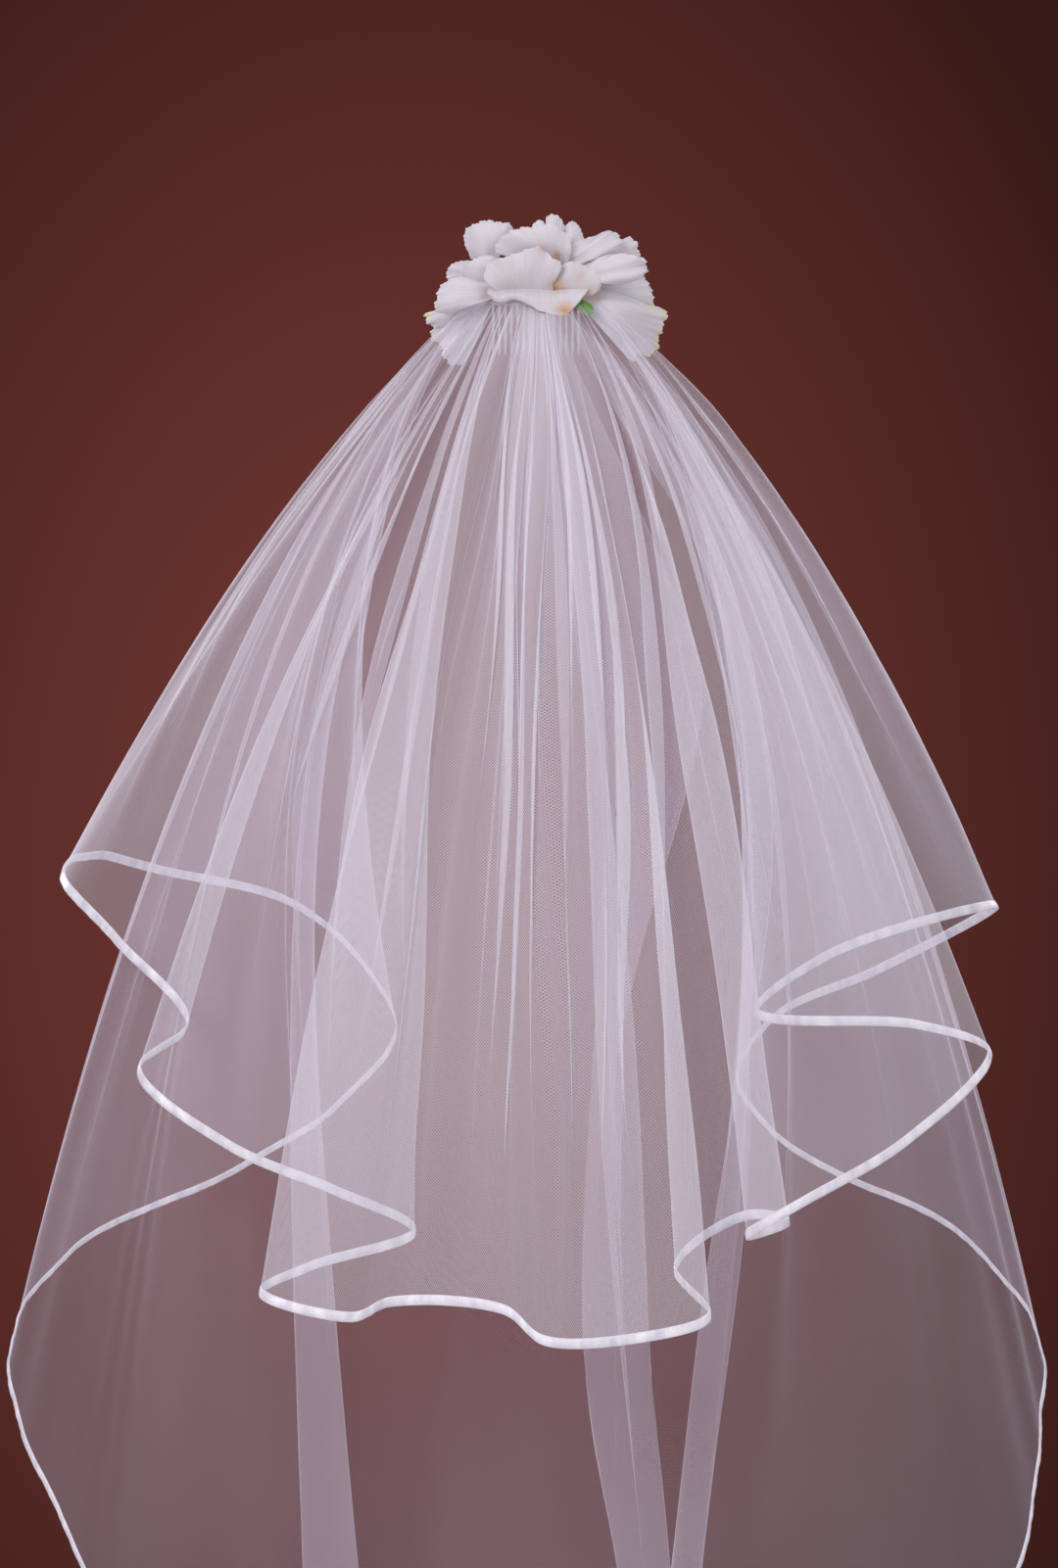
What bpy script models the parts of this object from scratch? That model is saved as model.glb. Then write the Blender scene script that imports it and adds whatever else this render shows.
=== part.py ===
# Two-tier bridal veil of tulle with satin edging, gathered on a hair comb under a spray of silk petals.
# Metres, +Z up. The origin is at the comb. The wearer faces +Y, so the veil's back is towards -Y.
# Both tiers are one oval cloth folded across at the comb. Its edge is one loop, listed fold by fold below.

import math

import bmesh
import bpy
import numpy as np

# Cloth. The slanted gap runs along the folds, which is about the seam gap when measured square to the hem.
WALL = 0.0010
SEAM_GAP = 0.0003
SLANTED_SEAM_GAP = 0.0006
EDGING_DEPTH = 0.0085
EDGING_WALL = 0.0016

# The cloth's mesh: shares of the way down for its rings, columns from fold to fold, how much these crowd
# towards the folds, and the least share of a wall's width kept square to it where it bends
RINGS = (0.0, 0.035, 0.08, 0.14, 0.21, 0.30, 0.41, 0.54, 0.69, 0.85, 1.0)
PLAIN_COLUMNS = 4
COLUMNS_PER_GATHER = 4
CROWDING = 0.5
SHARPEST_BEND = 0.6

# Gathers: deepest wave, the width at which a wave is half as deep, and how they rise and fade down the cloth
GATHER_DEPTH = 0.0030
GATHER_SOFT_WIDTH = 0.0080
GATHER_RISE = 0.05
GATHER_FADE = 0.6

# Where the cloth leaves the comb
GATHER_Z = 0.003
GATHER_STRAIGHT = 0.031
GATHER_TURN = 0.005

# Of each tier: y where it leaves the comb; the share of the hem's height, and of its way front to back,
# that a fold has at its knee.
UPPER_START = (-0.0095, 0.27, 0.54)
LOWER_START = (-0.0034, 0.23, 0.44)

# Each fold runs from its place on the comb, bends at a knee and ends at the hem.
# comb: place along the comb, mm. x, y, z: its end at the hem, m. knee: sideways place of the bend, m.
# grip: 1 for a soft bend, more for a sharp one. gathers: waves up to the next fold.
FOLD_COLUMNS = ("name", "comb", "x", "y", "z", "knee", "grip", "gathers")
UPPER_FOLDS = (
    ("left turn", -39.0, -0.114, 0.195, -0.580, -0.190, 1.0, 0),
    ("left front", -38.5, -0.195, 0.232, -0.482, -0.205, 1.0, 0),
    ("left flare", -37.7, -0.308, 0.150, -0.448, -0.204, 1.0, 0),
    ("left tip", -36.4, -0.371, 0.020, -0.447, -0.194, 1.0, 0),
    ("left side", -34.4, -0.319, -0.055, -0.497, -0.172, 1.0, 0),
    ("first inner", -31.8, -0.262, -0.100, -0.556, -0.160, 1.0, 0),
    ("second tip", -29.2, -0.293, -0.145, -0.589, -0.156, 1.0, 0),
    ("second side", -26.6, -0.224, -0.172, -0.642, -0.136, 1.0, 0),
    ("left back", -23.8, -0.147, -0.177, -0.674, -0.110, 1.0, 0),
    ("second inner", -21.0, -0.088, -0.188, -0.702, -0.098, 1.0, 0),
    ("third side", -18.2, -0.162, -0.218, -0.724, -0.105, 1.0, 0),
    ("third tip", -15.2, -0.196, -0.240, -0.740, -0.108, 1.0, 0),
    ("back one", -11.6, -0.130, -0.258, -0.755, -0.075, 1.0, 2),
    ("back two", -6.9, -0.104, -0.238, -0.747, -0.054, 1.0, 2),
    ("back three", -1.8, -0.023, -0.250, -0.751, -0.012, 1.0, 2),
    ("back four", 2.9, 0.004, -0.266, -0.770, 0.004, 1.0, 2),
    ("back five", 7.7, 0.064, -0.272, -0.769, 0.035, 1.0, 2),
    ("back tip", 12.2, 0.122, -0.262, -0.754, 0.070, 1.0, 0),
    ("third inner", 15.2, 0.100, -0.225, -0.724, 0.078, 1.0, 0),
    ("flap root", 18.0, 0.151, -0.190, -0.691, 0.096, 1.0, 0),
    ("flap right", 20.8, 0.181, -0.214, -0.692, 0.112, 1.0, 0),
    ("flap left", 23.6, 0.151, -0.248, -0.698, 0.120, 1.0, 0),
    ("flap side", 26.2, 0.191, -0.262, -0.672, 0.136, 1.0, 0),
    ("right back", 28.8, 0.268, -0.222, -0.632, 0.152, 1.0, 0),
    ("right tip", 31.2, 0.330, -0.178, -0.573, 0.180, 1.0, 0),
    ("right return", 33.2, 0.282, -0.154, -0.555, 0.176, 1.0, 0),
    ("right inner", 34.6, 0.165, -0.119, -0.548, 0.168, 1.0, 0),
    ("outer side", 35.9, 0.213, -0.085, -0.510, 0.180, 1.0, 0),
    ("outer tip", 36.9, 0.358, 0.020, -0.473, 0.194, 1.0, 0),
    ("right flare", 37.7, 0.277, 0.155, -0.530, 0.202, 1.0, 0),
    ("right front", 38.4, 0.200, 0.236, -0.572, 0.202, 1.0, 0),
    ("right turn", 39.0, 0.166, 0.205, -0.618, 0.190, 1.0, 0),
)
LOWER_FOLDS = (
    ("right turn", 39.0, 0.166, 0.205, -0.618, 0.190, 1.0, 0),
    ("right front", 38.0, 0.188, 0.160, -0.657, 0.182, 1.0, 0),
    ("right flare", 36.9, 0.251, 0.128, -0.694, 0.200, 1.0, 0),
    ("right wide", 35.0, 0.341, 0.090, -0.738, 0.228, 1.0, 0),
    ("right side", 32.6, 0.392, 0.050, -0.800, 0.250, 1.0, 0),
    ("right edge", 30.2, 0.390, 0.008, -0.886, 0.258, 1.0, 0),
    ("right long", 27.8, 0.375, -0.026, -0.965, 0.256, 1.1, 0),
    ("right hem", 25.4, 0.327, -0.050, -1.045, 0.250, 1.2, 0),
    ("right low", 22.8, 0.245, -0.080, -1.095, 0.242, 1.4, 0),
    ("right back", 20.0, 0.150, -0.106, -1.125, 0.230, 1.7, 0),
    ("right band left", 16.8, 0.081, -0.126, -1.140, 0.208, 1.9, 0),
    ("right band right", 13.6, 0.103, -0.106, -1.145, 0.188, 1.9, 0),
    ("middle band left", 9.4, 0.070, -0.084, -1.150, 0.060, 1.2, 0),
    ("middle band right", 5.4, 0.116, -0.058, -1.155, 0.052, 1.0, 1),
    ("back right", 1.0, 0.039, -0.042, -1.160, 0.025, 1.0, 1),
    ("back middle", -4.4, -0.035, -0.044, -1.160, -0.020, 1.0, 1),
    ("back left", -9.6, -0.100, -0.038, -1.155, -0.060, 1.0, 0),
    ("left band left", -14.4, -0.170, -0.062, -1.145, -0.206, 1.9, 0),
    ("left band right", -17.6, -0.112, -0.090, -1.138, -0.220, 1.9, 0),
    ("left back", -20.4, -0.177, -0.116, -1.125, -0.236, 1.8, 0),
    ("left low", -23.2, -0.249, -0.098, -1.085, -0.248, 1.5, 0),
    ("left hem", -25.9, -0.316, -0.068, -1.015, -0.258, 1.2, 0),
    ("left long", -28.4, -0.365, -0.038, -0.935, -0.264, 1.1, 0),
    ("left edge", -30.8, -0.403, -0.002, -0.860, -0.264, 1.0, 0),
    ("left wide", -33.1, -0.406, 0.030, -0.800, -0.258, 1.0, 0),
    ("left side", -35.2, -0.369, 0.072, -0.747, -0.238, 1.0, 0),
    ("left flare", -37.0, -0.303, 0.108, -0.714, -0.212, 1.0, 0),
    ("left front", -38.2, -0.216, 0.145, -0.676, -0.190, 1.0, 0),
)

# Comb
COMB_BOW = 0.005
SPINE_HALF = 0.0355
SPINE_LOW = -0.004
SPINE_HIGH = 0.004
SPINE_THICK = 0.0052
TEETH = 15
TOOTH_WIDTH = 0.0020
TOOTH_LENGTH = 0.038
TOOTH_THICK = 0.0016
TOOTH_SWEEP = 0.010
TOOTH_CURVE = 1.6
TOOTH_RINGS = (0.25, 0.55, 0.85, 1.0)
TOOTH_TIP = 0.35

# Flowers
BASE_CENTRE = (0.0, 0.0040, 0.0173)
BASE_RADII = (0.036, 0.016, 0.0130)
PETAL_WALL = 0.0010
PETAL_ALONG = 4
PETAL_ACROSS = 6
PETAL_FULLNESS = 1.2
PETAL_ROUNDING = 0.26
PETAL_SHOULDER = 2.2
PETAL_TAPER = 1.5
SEAT_STEP = 0.0001
# way: degrees round from +X towards +Z, seen from behind. seat and lean: degrees towards the back, -Y, of
# the root's place on the base and of the petal itself. neck: how wide the root is, as a share of the width.
# cup: how far the sides curl back towards -Y. curl: how far the tip does. ruffle: height of the rim's waves.
PETAL_COLUMNS = ("name", "way", "seat", "lean", "length", "width", "neck", "cup", "curl", "ruffle", "waves")
PETALS = (
    ("petal_top_left", 143, 6, 6, 0.034, 0.042, 0.20, 0.005, -0.003, 0.0018, 3),
    ("petal_tip_left", 74, -14, -14, 0.038, 0.020, 0.25, 0.002, 0.000, 0.0008, 2),
    ("petal_tip_right", 57, -28, -28, 0.042, 0.022, 0.25, 0.002, 0.000, 0.0008, 2),
    ("petal_upper_centre", 91, 30, 24, 0.032, 0.064, 0.20, -0.004, 0.003, 0.0014, 3),
    ("petal_centre", 98, 100, 34, 0.036, 0.060, 0.25, -0.005, 0.002, 0.0014, 3),
    ("petal_upper_right", 22, 14, 14, 0.044, 0.034, 0.20, 0.004, 0.002, 0.0018, 3),
    ("petal_outer_right", 14, -6, -6, 0.052, 0.038, 0.20, 0.004, -0.002, 0.0022, 4),
    ("petal_ruffle_right", 3, 26, 22, 0.062, 0.034, 0.20, 0.004, 0.002, 0.0022, 4),
    ("petal_heart_right", 0, 36, 50, 0.030, 0.028, 0.25, 0.002, 0.000, 0.0010, 2),
    ("petal_tip_right_low", -8, -50, -44, 0.104, 0.032, 0.20, 0.003, 0.000, 0.0012, 2),
    ("petal_lower_right", -25, -34, -30, 0.103, 0.060, 0.14, 0.005, -0.003, 0.0018, 3),
    ("petal_left_high", 179, -8, -8, 0.034, 0.026, 0.25, 0.003, 0.000, 0.0012, 2),
    ("petal_left_mid", 174, 38, 30, 0.034, 0.030, 0.25, 0.003, 0.000, 0.0012, 2),
    ("petal_left_side", 187, 24, 20, 0.052, 0.030, 0.25, 0.003, 0.002, 0.0016, 3),
    ("petal_lower_left", 200, -30, -26, 0.076, 0.034, 0.20, 0.003, 0.000, 0.0018, 3),
    ("petal_left_bottom", 214, -40, -30, 0.102, 0.030, 0.14, 0.004, 0.000, 0.0018, 3),
    ("petal_folded", 270, 62, 44, 0.028, 0.068, 0.70, -0.002, 0.000, 0.0008, 2),
)
CALYX = ("calyx", -34, -10, -10, 0.026, 0.010, 0.50, -0.001, 0.000, 0.0, 1)

# Colours, linear
TULLE_COLOUR = (0.86, 0.84, 0.88, 1.0)
SATIN_COLOUR = (0.90, 0.90, 0.92, 1.0)
PETAL_COLOUR = (0.88, 0.85, 0.87, 1.0)
CALYX_COLOUR = (0.10, 0.28, 0.04, 1.0)
COMB_COLOUR = (0.80, 0.80, 0.78, 1.0)
BASE_COLOUR = (0.82, 0.80, 0.76, 1.0)


def clear_scene():
    for obj in list(bpy.data.objects):
        bpy.data.objects.remove(obj, do_unlink=True)


def material(name, colour, roughness, metallic=0.0):
    made = bpy.data.materials.new(name)
    made.use_nodes = True
    shader = made.node_tree.nodes["Principled BSDF"]
    shader.inputs["Base Color"].default_value = colour
    shader.inputs["Roughness"].default_value = roughness
    shader.inputs["Metallic"].default_value = metallic
    return made


def add_object(name, points, faces, finish):
    mesh = bpy.data.meshes.new(name)
    mesh.from_pydata([tuple(map(float, p)) for p in points], [], faces)
    shaped = bmesh.new()
    shaped.from_mesh(mesh)
    bmesh.ops.recalc_face_normals(shaped, faces=shaped.faces)
    if shaped.calc_volume(signed=True) < 0:
        bmesh.ops.reverse_faces(shaped, faces=shaped.faces)
    shaped.to_mesh(mesh)
    shaped.free()
    mesh.shade_smooth()
    mesh.set_sharp_from_angle(angle=math.radians(50))
    mesh.materials.append(finish)
    obj = bpy.data.objects.new(name, mesh)
    bpy.context.scene.collection.objects.link(obj)
    return obj


def unit(vectors):
    lengths = np.linalg.norm(vectors, axis=-1, keepdims=True)
    return vectors / np.maximum(lengths, 1e-12)


def gather_place(along, cloth_y):
    """Where the gathered edge runs: straight behind the comb, then curving forward past its ends."""
    turn = max(0.0, abs(along) - GATHER_STRAIGHT) / GATHER_TURN
    radius = GATHER_TURN - cloth_y
    x = min(abs(along), GATHER_STRAIGHT) + radius * math.sin(turn)
    return math.copysign(x, along), GATHER_TURN - radius * math.cos(turn)


def fold_values(row, start):
    """A fold's top, knee and hem points and its grip, as one row of numbers."""
    cloth_y, drop, knee_back = start
    fold = dict(zip(FOLD_COLUMNS, row))
    top = (*gather_place(fold["comb"] / 1000, cloth_y), GATHER_Z)
    knee_y = top[1] + knee_back * (fold["y"] - top[1])
    knee = (fold["knee"], knee_y, drop * fold["z"])
    return (*top, *knee, fold["x"], fold["y"], fold["z"], fold["grip"])


def edge_loop():
    """Every fold of the veil's one closed edge, and the gathers from each to the next."""
    turn_start = [(a + b) / 2 for a, b in zip(UPPER_START, LOWER_START)]
    values = [fold_values(UPPER_FOLDS[0], turn_start)]
    values += [fold_values(row, UPPER_START) for row in UPPER_FOLDS[1:-1]]
    values.append(fold_values(UPPER_FOLDS[-1], turn_start))
    values += [fold_values(row, LOWER_START) for row in LOWER_FOLDS[1:]]
    gathers = [row[-1] for row in UPPER_FOLDS[:-1]] + [row[-1] for row in LOWER_FOLDS]
    return np.array(values), gathers


def between_folds(values, first, shares):
    """The fold values at these shares of the way from one fold to the next, on a centripetal curve."""
    four = [values[(first + k) % len(values)] for k in (-1, 0, 1, 2)]
    knots = [0.0]
    for a, b in zip(four, four[1:]):
        knots.append(knots[-1] + math.sqrt(np.linalg.norm(b[6:9] - a[6:9])))
    at = (knots[1] + (knots[2] - knots[1]) * np.asarray(shares))[:, None]

    def mixed(a, b, low, high):
        return ((high - at) * a + (at - low) * b) / (high - low)

    a1 = mixed(four[0], four[1], knots[0], knots[1])
    a2 = mixed(four[1], four[2], knots[1], knots[2])
    a3 = mixed(four[2], four[3], knots[2], knots[3])
    b1 = mixed(a1, a2, knots[0], knots[2])
    b2 = mixed(a2, a3, knots[1], knots[3])
    return mixed(b1, b2, knots[1], knots[2])


def crowded(shares):
    """The same shares of the way, moved closer to both folds."""
    return shares - CROWDING * np.sin(2 * math.pi * shares) / (2 * math.pi)


def tier_columns(first, last):
    """Fold values and wave phase for each column of cloth between two folds of the edge loop.

    One more column lies past each end, so that both tiers have the same surface directions at their turn."""
    values, gathers = edge_loop()
    beside = crowded(1 / PLAIN_COLUMNS)
    columns, phases, phase = [between_folds(values, first - 1, [1 - beside])], [[0.0]], 0.0
    for index in range(first, last):
        waves = gathers[index]
        count = max(PLAIN_COLUMNS, COLUMNS_PER_GATHER * waves)
        shares = np.arange(count) / count
        columns.append(between_folds(values, index, shares if waves else crowded(shares)))
        phases.append(phase + waves * shares)
        phase += waves
    columns.append(between_folds(values, last, [0.0, beside]))
    phases.append([phase, phase])
    return np.concatenate(columns), np.concatenate(phases)


def along_fold(columns, t):
    """Points on the folds. t has a row for each column and a value for each ring."""
    top, knee, hem = columns[:, None, 0:3], columns[:, None, 3:6], columns[:, None, 6:9]
    grip = columns[:, 9][:, None]
    a, b, c = (1 - t) ** 2, 2 * grip * t * (1 - t), t**2
    total = a + b + c
    return (a[..., None] * top + b[..., None] * knee + c[..., None] * hem) / total[..., None]


def surface_normals(points):
    """Directions square to the surface, longer where it bends, so that a wall keeps its thickness there."""
    steps = unit(np.diff(points, axis=0))
    across = (np.concatenate([steps[:1], steps]) + np.concatenate([steps, steps[-1:]])) / 2
    down = np.gradient(points, axis=1)
    bend = np.maximum(np.linalg.norm(across, axis=-1, keepdims=True), SHARPEST_BEND)
    return unit(np.cross(across, down)) / bend


def gather_waves(surface, shares, phases):
    """How far the gathers' waves push each point of the cloth, none at the comb and at the edging."""
    per_column = np.gradient(phases)[:, None]
    spacing = np.linalg.norm(np.gradient(surface, axis=0), axis=-1)
    width = spacing / np.maximum(per_column, 1e-6)
    softened = width**2 / (width**2 + GATHER_SOFT_WIDTH**2)
    ends = np.clip(np.minimum(phases, phases[-1] - phases), 0, 1)[:, None]
    rise = np.clip(shares / GATHER_RISE, 0, 1) * (1 - shares) ** GATHER_FADE
    return GATHER_DEPTH * softened * rise * ends * np.sin(2 * math.pi * phases)[:, None]


def tier_surface(columns, phases):
    """The cloth's middle surface with its normals. Its last two rings are the edging's."""
    tail = 2 * columns[:, 9] * np.linalg.norm(columns[:, 6:9] - columns[:, 3:6], axis=1)
    cloth_end = 1 - (EDGING_DEPTH + SLANTED_SEAM_GAP) / tail
    edging_start = 1 - EDGING_DEPTH / tail
    t = np.array(RINGS)[None, :] * cloth_end[:, None]
    t = np.concatenate([t, edging_start[:, None], np.ones_like(t[:, :1])], axis=1)
    surface = along_fold(columns, t)
    shares = np.array(RINGS + (1.0, 1.0))[None, :]
    waves = gather_waves(surface, shares, phases)
    surface = surface + waves[..., None] * surface_normals(surface)
    normals = surface_normals(surface)
    at_edging = normals[:, -2].copy()
    at_edging[1:-1] = (normals[:-2, -2] + 2 * normals[1:-1, -2] + normals[2:, -2]) / 4
    normals[:, -3:] = at_edging[:, None]
    return part_at_turns(surface)[1:-1], normals[1:-1]


def part_at_turns(points):
    """Draws each end column in by half a seam gap, so that the two tiers stay apart at their turns."""
    steps = unit(np.diff(points, axis=0))
    moved = points.copy()
    moved[1] += unit(steps[0] + steps[1]) * SEAM_GAP / 2
    moved[-2] -= unit(steps[-2] + steps[-1]) * SEAM_GAP / 2
    return moved


def wall_mesh(middle, normals, thickness):
    """A closed wall of this thickness about a grid of points."""
    columns, rings = middle.shape[:2]
    outer = (middle + normals * thickness / 2).reshape(-1, 3)
    inner = (middle - normals * thickness / 2).reshape(-1, 3)
    points = np.concatenate([outer, inner])
    behind = len(outer)
    faces = []
    for i in range(columns - 1):
        for j in range(rings - 1):
            a, b = i * rings + j, (i + 1) * rings + j
            faces.append((a, b, b + 1, a + 1))
            faces.append((a + behind, a + 1 + behind, b + 1 + behind, b + behind))
    rim = [i * rings for i in range(columns)]
    rim += [(columns - 1) * rings + j for j in range(1, rings)]
    rim += [i * rings + rings - 1 for i in range(columns - 2, -1, -1)]
    rim += [j for j in range(rings - 2, 0, -1)]
    # Each rim face is cut the same way on both sides of a seam, from outside at its lower number.
    for a, b in zip(rim, rim[1:] + rim[:1]):
        if a < b:
            faces += [(a, a + behind, b + behind), (a, b + behind, b)]
        else:
            faces += [(a, a + behind, b), (a + behind, b + behind, b)]
    return points, faces


def add_tier(name, first, last, tulle, satin):
    columns, phases = tier_columns(first, last)
    surface, normals = tier_surface(columns, phases)
    points, faces = wall_mesh(surface[:, :-2], normals[:, :-2], WALL)
    add_object(name + "_tier", points, faces, tulle)
    points, faces = wall_mesh(surface[:, -2:], normals[:, -2:], EDGING_WALL)
    add_object(name + "_edging", points, faces, satin)


def comb_point(x, z, side, thick):
    """A point on the comb's back (-1) or front (1) face. The teeth sweep forward as they go down."""
    sweep = TOOTH_SWEEP * max(0.0, (SPINE_LOW - z) / TOOTH_LENGTH) ** TOOTH_CURVE
    bow = COMB_BOW * (x / SPINE_HALF) ** 2
    return (x, bow + sweep + side * thick / 2, z)


def add_comb(finish):
    """The spine and its teeth, as one plate of cells in the XZ plane, thinner at the teeth."""
    pitch = 2 * SPINE_HALF / TEETH
    edges = []
    for k in range(TEETH):
        middle = -SPINE_HALF + pitch * (k + 0.5)
        edges += [middle - TOOTH_WIDTH / 2, middle + TOOTH_WIDTH / 2]
    xs = [-SPINE_HALF] + edges + [SPINE_HALF]
    cells = [((i, 0), (i + 1, 0), (i + 1, 1), (i, 1)) for i in range(len(xs) - 1)]
    for k in range(TEETH):
        left = 1 + 2 * k
        for j in range(1, len(TOOTH_RINGS) + 1):
            cells.append(((left, j), (left + 1, j), (left + 1, j + 1), (left, j + 1)))

    def place(corner, side):
        i, j = corner
        if j < 2:
            return comb_point(xs[i], (SPINE_HIGH, SPINE_LOW)[j], side, SPINE_THICK)
        narrow = TOOTH_TIP if j == len(TOOTH_RINGS) + 1 else 1.0
        middle = (xs[i] + xs[i + 1 if i % 2 else i - 1]) / 2
        x = middle + (xs[i] - middle) * narrow
        return comb_point(x, SPINE_LOW - TOOTH_LENGTH * TOOTH_RINGS[j - 2], side, TOOTH_THICK)

    corners = sorted({c for cell in cells for c in cell})
    back = {c: n for n, c in enumerate(corners)}
    count = len(corners)
    points = [place(c, -1) for c in corners] + [place(c, 1) for c in corners]
    faces = []
    sides = {}
    for cell in cells:
        ids = [back[c] for c in cell]
        faces.append(tuple(ids))
        faces.append(tuple(count + n for n in reversed(ids)))
        for a, b in zip(ids, ids[1:] + ids[:1]):
            sides[(a, b)] = None
    for a, b in sides:
        if (b, a) not in sides:
            faces.append((b, a, a + count, b + count))
    add_object("comb", points, faces, finish)


def base_clearance(points):
    """How far each point is outside the flower base, measured towards its centre."""
    away = np.asarray(points) - np.array(BASE_CENTRE)
    scale = np.linalg.norm(away / np.array(BASE_RADII), axis=-1)
    return np.linalg.norm(away, axis=-1) * (1 - 1 / scale)


def add_flower_base(finish):
    mesh = bmesh.new()
    bmesh.ops.create_uvsphere(mesh, u_segments=24, v_segments=12, radius=1.0)
    points = [[c + r * v for c, r, v in zip(BASE_CENTRE, BASE_RADII, vert.co)] for vert in mesh.verts]
    faces = [tuple(v.index for v in face.verts) for face in mesh.faces]
    mesh.free()
    add_object("flower_base", points, faces, finish)


def direction(way, lift):
    """The unit vector at this angle round the base, tipped towards the back."""
    way, lift = math.radians(way), math.radians(lift)
    return np.array((math.cos(way) * math.cos(lift), -math.sin(lift), math.sin(way) * math.cos(lift)))


def petal_grid(petal):
    """The petal's middle surface: narrow at its root, widest past the middle, with a rounded, ruffled rim."""
    v = np.linspace(0, 1, PETAL_ALONG + 1)[None, :, None]
    u = np.linspace(-1, 1, PETAL_ACROSS + 1)[:, None, None]
    along = direction(petal["way"], petal["lean"])
    across = direction(petal["way"] + 90, 0)
    out = np.cross(along, across)
    spread = np.sin(math.pi / 2 * np.minimum(1, v * PETAL_FULLNESS))
    half = petal["width"] / 2 * (petal["neck"] + (1 - petal["neck"]) * spread)
    reach = petal["length"] * (v - PETAL_ROUNDING * np.abs(u) ** PETAL_SHOULDER * v**PETAL_TAPER)
    rise = petal["cup"] * u**2 * v + petal["curl"] * v**2
    rise = rise + petal["ruffle"] * np.sin(math.pi * petal["waves"] * u) * v**2
    return np.array(BASE_CENTRE) + reach * along + u * half * across + rise * out


def add_petal(row, finish):
    """A petal moved out from the base's centre until its root just clears the base."""
    petal = dict(zip(PETAL_COLUMNS, row))
    middle = petal_grid(petal)
    normals = surface_normals(middle)
    step = direction(petal["way"], petal["seat"]) * SEAT_STEP
    points, faces = wall_mesh(middle, normals, PETAL_WALL)
    while base_clearance(points).min() < SEAM_GAP:
        points = points + step
    add_object(petal["name"], points, faces, finish)


def main():
    clear_scene()
    tulle = material("tulle", TULLE_COLOUR, 0.6)
    satin = material("satin", SATIN_COLOUR, 0.3)
    silk = material("petal silk", PETAL_COLOUR, 0.55)
    green = material("calyx green", CALYX_COLOUR, 0.5)
    plastic = material("comb plastic", COMB_COLOUR, 0.25)
    felt = material("base felt", BASE_COLOUR, 0.9)
    right_turn = len(UPPER_FOLDS) - 1
    left_turn = right_turn + len(LOWER_FOLDS)
    add_tier("upper", 0, right_turn, tulle, satin)
    add_tier("lower", right_turn, left_turn, tulle, satin)
    add_comb(plastic)
    add_flower_base(felt)
    for row in PETALS:
        add_petal(row, silk)
    add_petal(CALYX, green)


main()
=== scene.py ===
import math
import bpy
import numpy as np
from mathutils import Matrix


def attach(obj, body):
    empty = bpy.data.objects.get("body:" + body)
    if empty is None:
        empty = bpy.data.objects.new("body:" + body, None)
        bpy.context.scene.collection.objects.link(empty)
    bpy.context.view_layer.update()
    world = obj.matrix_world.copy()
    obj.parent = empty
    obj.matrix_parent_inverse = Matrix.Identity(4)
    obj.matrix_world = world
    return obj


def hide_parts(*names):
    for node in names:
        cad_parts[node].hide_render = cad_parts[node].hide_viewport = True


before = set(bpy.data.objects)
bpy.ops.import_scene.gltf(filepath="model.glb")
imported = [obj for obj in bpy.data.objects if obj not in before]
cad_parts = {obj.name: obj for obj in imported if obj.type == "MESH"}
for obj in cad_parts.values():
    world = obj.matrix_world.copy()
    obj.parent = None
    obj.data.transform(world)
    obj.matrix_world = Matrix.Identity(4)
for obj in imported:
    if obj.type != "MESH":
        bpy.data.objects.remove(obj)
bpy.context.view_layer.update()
scene = bpy.context.scene
print("frame loaded:", len(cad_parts), "nodes")


def addNode(tree, kind, **settings):
    node = tree.nodes.new(kind)
    for key, value in settings.items():
        setattr(node, key, value)
    return node


def feed(tree, socket, value):
    if isinstance(value, bpy.types.NodeSocket):
        tree.links.new(value, socket)
    else:
        socket.default_value = value


def mathNode(tree, operation, first, second=None):
    node = addNode(tree, "ShaderNodeMath", operation=operation)
    feed(tree, node.inputs[0], first)
    if second is not None:
        feed(tree, node.inputs[1], second)
    return node.outputs[0]


def mapped(tree, value, fromLow, fromHigh, toLow, toHigh):
    node = addNode(tree, "ShaderNodeMapRange")
    for socket, number in zip(node.inputs, (value, fromLow, fromHigh, toLow, toHigh)):
        feed(tree, socket, number)
    return node.outputs[0]


def newMaterial(name, colour, roughness, **sockets):
    mat = bpy.data.materials.new(name)
    mat.use_nodes = True
    tree = mat.node_tree
    shader = tree.nodes["Principled BSDF"]
    shader.inputs["Base Color"].default_value = (*colour, 1)
    shader.inputs["Roughness"].default_value = roughness
    for key, value in sockets.items():
        shader.inputs[key.replace("_", " ")].default_value = value
    return mat, tree, shader


def placed(tree, coords, scale, turn=0.0):
    node = addNode(tree, "ShaderNodeMapping")
    tree.links.new(coords, node.inputs["Vector"])
    node.inputs["Scale"].default_value = scale
    node.inputs["Rotation"].default_value = (0, 0, turn)
    return node.outputs[0]


def noise(tree, coords, scale, detail=2.0):
    node = addNode(tree, "ShaderNodeTexNoise")
    tree.links.new(coords, node.inputs["Vector"])
    node.inputs["Scale"].default_value = scale
    node.inputs["Detail"].default_value = detail
    return node.outputs["Fac"]


def bump(tree, shader, height, distance, strength=1.0):
    node = addNode(tree, "ShaderNodeBump")
    feed(tree, node.inputs["Height"], height)
    node.inputs["Distance"].default_value = distance
    node.inputs["Strength"].default_value = strength
    tree.links.new(node.outputs[0], shader.inputs["Normal"])


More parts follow.
